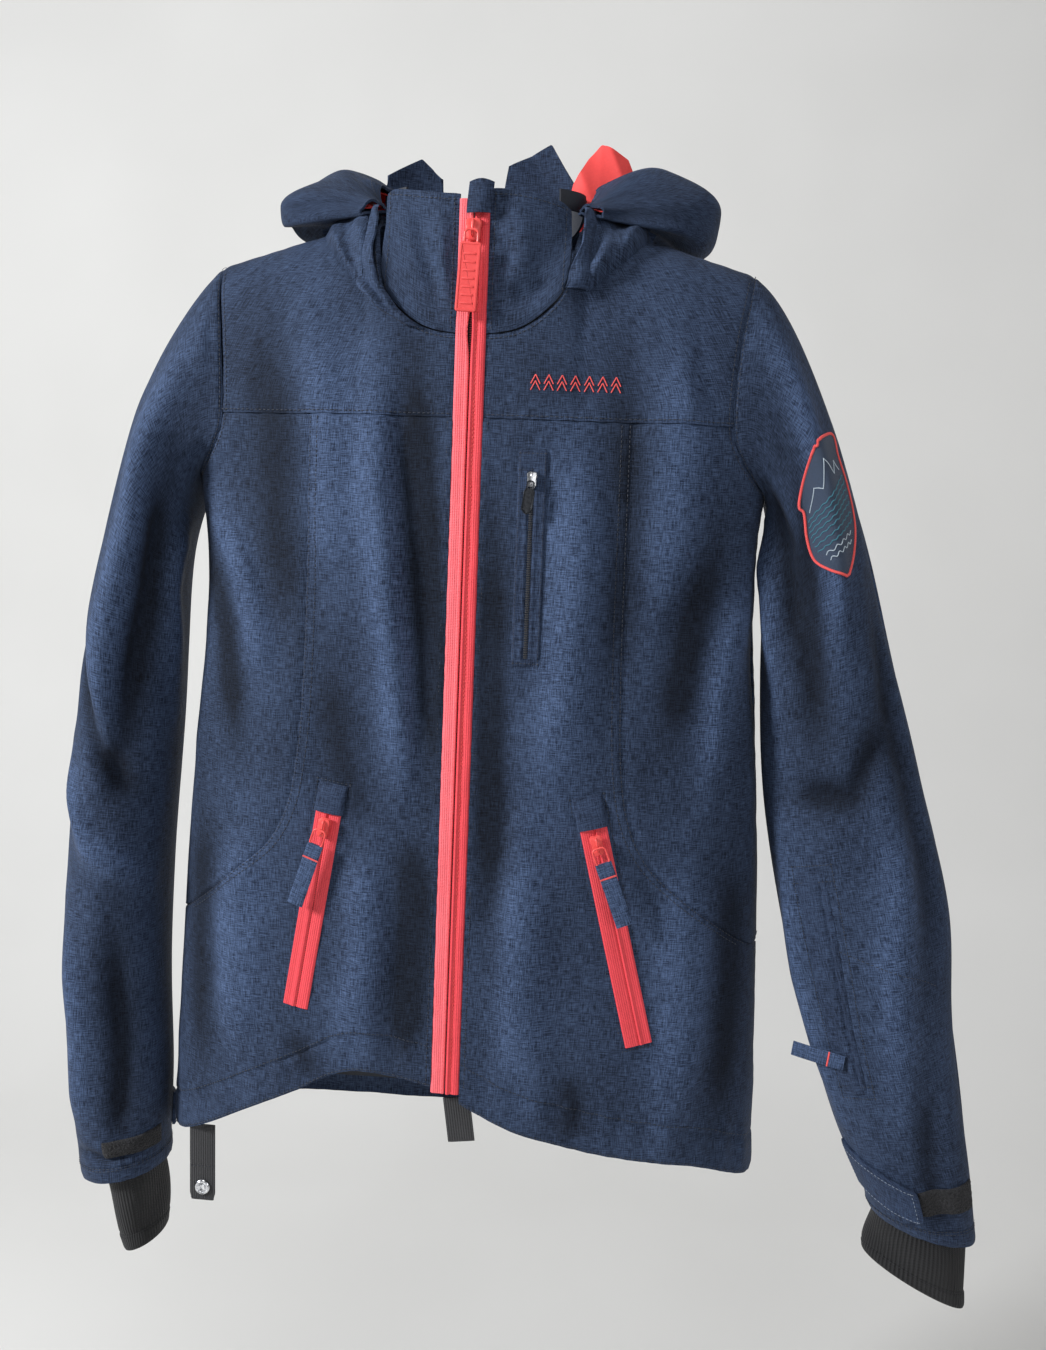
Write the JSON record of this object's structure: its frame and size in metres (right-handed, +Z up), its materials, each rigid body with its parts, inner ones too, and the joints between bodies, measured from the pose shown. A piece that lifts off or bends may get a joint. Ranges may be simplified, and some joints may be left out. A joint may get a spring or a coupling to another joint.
{
  "type": "ski jacket",
  "caption": "Hooded, padded youth ski jacket hanging closed: yoked front, full front zip, slanted hand pockets, chest pocket, wrist gaiters and cuff tabs.",
  "frame": {"origin": "middle of the neck opening, level with the high points of the shoulders, where the hanger's stem passes", "axes": "+Z up along the hanging jacket, -Y out of its front, +X towards the wearer's left"},
  "size_m": [0.706, 0.213, 0.8619],
  "materials": {
    "navy_shell": "heathered woven shell cloth",
    "navy_trim": "heathered woven shell cloth, doubled",
    "coral_tape": "woven zip tape",
    "coral_metal": "enamelled slider",
    "coral_rubber": "woven and moulded puller",
    "coral_thread": "embroidery thread",
    "coral_lining": "hood lining",
    "dark_lining": "smooth woven lining",
    "zip_teeth_coral": "zip coil seen between the tapes",
    "zip_teeth_black": "zip coil",
    "chrome": "polished",
    "gunmetal": "dark plated",
    "black_knit": "stretch knit",
    "black_loop": "loop pile",
    "black_webbing": "elastic webbing",
    "badge": "printed badge with a corded edge"
  },
  "bodies": {
    "jacket": {"front_panel_right": "navy_shell", "front_panel_left": "navy_shell", "side_panel_right": "navy_shell", "side_panel_left": "navy_shell", "front_yoke_right": "navy_shell", "front_yoke_left": "navy_shell", "front_lining_right": "dark_lining", "front_lining_left": "dark_lining", "back_panel": "navy_shell", "back_yoke": "navy_shell", "back_lining": "dark_lining", "collar_right": "navy_trim", "collar_left": "navy_trim", "collar_back": "navy_trim", "chin_guard": "navy_trim", "zip_tape_right": "coral_tape", "zip_tape_left": "coral_tape", "zip_chain": "zip_teeth_coral", "chest_pocket_welt": "navy_trim", "chest_zip_chain": "zip_teeth_black", "chest_pocket_bag": "dark_lining", "chest_motif": "coral_thread", "pocket_tape_right": "coral_tape", "pocket_tape_left": "coral_tape", "pocket_chain_right": "zip_teeth_coral", "pocket_chain_left": "zip_teeth_coral", "pocket_garage_right": "navy_trim", "pocket_garage_left": "navy_trim", "pocket_bag_right": "dark_lining", "pocket_bag_left": "dark_lining"},
    "front_zip_slider": {"zip_slider": "coral_metal"},
    "front_puller": {"zip_puller": "coral_rubber"},
    "chest_slider_body": {"chest_slider": "chrome"},
    "chest_puller_body": {"chest_puller": "gunmetal"},
    "pocket_slider_body_right": {"pocket_slider_right": "coral_metal"},
    "pocket_puller_body_right": {"pocket_puller_right": "navy_shell"},
    "pocket_slider_body_left": {"pocket_slider_left": "coral_metal"},
    "pocket_puller_body_left": {"pocket_puller_left": "navy_shell"},
    "right_sleeve": {"sleeve_front_right": "navy_shell", "sleeve_back_right": "navy_shell", "sleeve_lining_right": "dark_lining", "gaiter_right": "black_knit", "loop_patch_right": "black_loop"},
    "left_sleeve": {"sleeve_front_left": "navy_shell", "sleeve_back_left": "navy_shell", "sleeve_lining_left": "dark_lining", "gaiter_left": "black_knit", "loop_patch_left": "black_loop", "sleeve_badge": "badge", "sleeve_pocket_welt": "navy_trim"},
    "sleeve_strap": {"sleeve_pocket_puller": "navy_shell"},
    "right_cuff_tab": {"cuff_tab_right": "navy_shell"},
    "left_cuff_tab": {"cuff_tab_left": "navy_shell"},
    "hood": {"hood_shell": "navy_shell", "hood_lining": "coral_lining", "hood_brim": "navy_shell"},
    "snap_strap_body": {"snap_strap": "black_webbing", "snap": "chrome"},
    "zip_tab_body": {"zip_tab": "black_webbing"}
  },
  "joints": [
    {"name": "front_zip_slide", "type": "slide", "parent": "jacket", "child": "front_zip_slider", "axis": [0, -0.0414, -0.9991], "range_m": [0, 0.585]},
    {"name": "front_puller_hinge", "type": "hinge", "parent": "front_zip_slider", "child": "front_puller", "pos_m": [-0.00017, -0.07049, -0.013], "axis": [-0.9988, 0.0021, 0.0499], "range_deg": [0, 110]},
    {"name": "chest_zip_slide", "type": "slide", "parent": "jacket", "child": "chest_slider_body", "axis": [0, -0.0418, -0.9991], "range_m": [0, 0.112]},
    {"name": "chest_puller_hinge", "type": "hinge", "parent": "chest_slider_body", "child": "chest_puller_body", "pos_m": [0.04598, -0.07695, -0.17799], "axis": [-0.9919, -0.0367, 0.1213], "range_deg": [0, 110]},
    {"name": "pocket_zip_slide_right", "type": "slide", "parent": "jacket", "child": "pocket_slider_body_right", "axis": [-0.149, -0.0228, -0.9886], "range_m": [0, 0.125]},
    {"name": "pocket_puller_hinge_right", "type": "hinge", "parent": "pocket_slider_body_right", "child": "pocket_puller_body_right", "pos_m": [-0.09487, -0.08526, -0.42772], "axis": [-0.9436, 0.1172, 0.3097], "range_deg": [0, 110]},
    {"name": "pocket_zip_slide_left", "type": "slide", "parent": "jacket", "child": "pocket_slider_body_left", "axis": [0.2411, -0.0013, -0.9705], "range_m": [0, 0.137]},
    {"name": "pocket_puller_hinge_left", "type": "hinge", "parent": "pocket_slider_body_left", "child": "pocket_puller_body_left", "pos_m": [0.10348, -0.08425, -0.42848], "axis": [-0.9249, -0.1335, -0.356], "range_deg": [0, 110]},
    {"name": "right_sleeve_swing", "type": "hinge", "parent": "jacket", "child": "right_sleeve", "pos_m": [-0.189, 0, -0.024], "axis": [0, 1, 0], "range_deg": [0, 40]},
    {"name": "left_sleeve_swing", "type": "hinge", "parent": "jacket", "child": "left_sleeve", "pos_m": [0.189, 0, -0.024], "axis": [0, -1, 0], "range_deg": [0, 40]},
    {"name": "hood_lift", "type": "hinge", "parent": "jacket", "child": "hood", "pos_m": [0, -0.016, 0.012], "axis": [1, 0, 0], "range_deg": [0, 35]},
    {"name": "snap_strap_swing", "type": "hinge", "parent": "jacket", "child": "snap_strap_body", "pos_m": [-0.195, -0.04468, -0.676], "axis": [1, 0, 0], "range_deg": [0, 60]},
    {"name": "zip_tab_swing", "type": "hinge", "parent": "jacket", "child": "zip_tab_body", "pos_m": [0.0123, -0.0794, -0.62], "axis": [1, 0, 0], "range_deg": [0, 60]},
    {"name": "sleeve_strap_lift", "type": "hinge", "parent": "left_sleeve", "child": "sleeve_strap", "pos_m": [0.2862, -0.0498, -0.5812], "axis": [0, 0, 1], "range_deg": [0, 60]},
    {"name": "cuff_tab_right_lift", "type": "hinge", "parent": "right_sleeve", "child": "right_cuff_tab", "pos_m": [-0.2315, -0.006, -0.678], "axis": [0, 0, -1], "range_deg": [0, 38]},
    {"name": "cuff_tab_left_lift", "type": "hinge", "parent": "left_sleeve", "child": "left_cuff_tab", "pos_m": [0.302, -0.0395, -0.673], "axis": [0.386, -0.06, -0.9205], "range_deg": [0, 45]}
  ]
}
